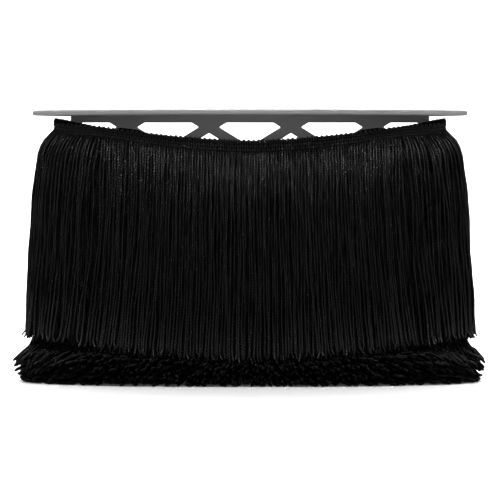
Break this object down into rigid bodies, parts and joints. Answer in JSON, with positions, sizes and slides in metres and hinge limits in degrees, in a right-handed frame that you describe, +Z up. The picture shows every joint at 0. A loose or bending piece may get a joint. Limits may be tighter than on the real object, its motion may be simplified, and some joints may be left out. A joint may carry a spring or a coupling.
{
  "type": "chainette fringe trim on a reel",
  "caption": "Black chainette fringe trim wound round a flat plastic reel, its strands hanging in a curtain and spreading over the foot on the table.",
  "frame": {"origin": "middle of the reel's foot, on the surface that it stands on", "axes": "+X along the reel's length, -Y towards the front, +Z up"},
  "size_m": [0.3261, 0.0959, 0.1866],
  "materials": {
    "moulded_plastic": "mid-grey injection-moulded polystyrene with a fine satin surface",
    "rayon_yarn": "black rayon chainette yarn with a soft sheen along each strand"
  },
  "bodies": {
    "root": {"reel_end_top": "moulded_plastic", "reel_end_bottom": "moulded_plastic", "reel_board": "moulded_plastic", "inner_turns": "rayon_yarn", "outer_turn": "rayon_yarn", "splayed_ends_right": "rayon_yarn", "splayed_ends_back": "rayon_yarn", "splayed_ends_left": "rayon_yarn", "splayed_ends_front": "rayon_yarn"}
  },
  "joints": []
}
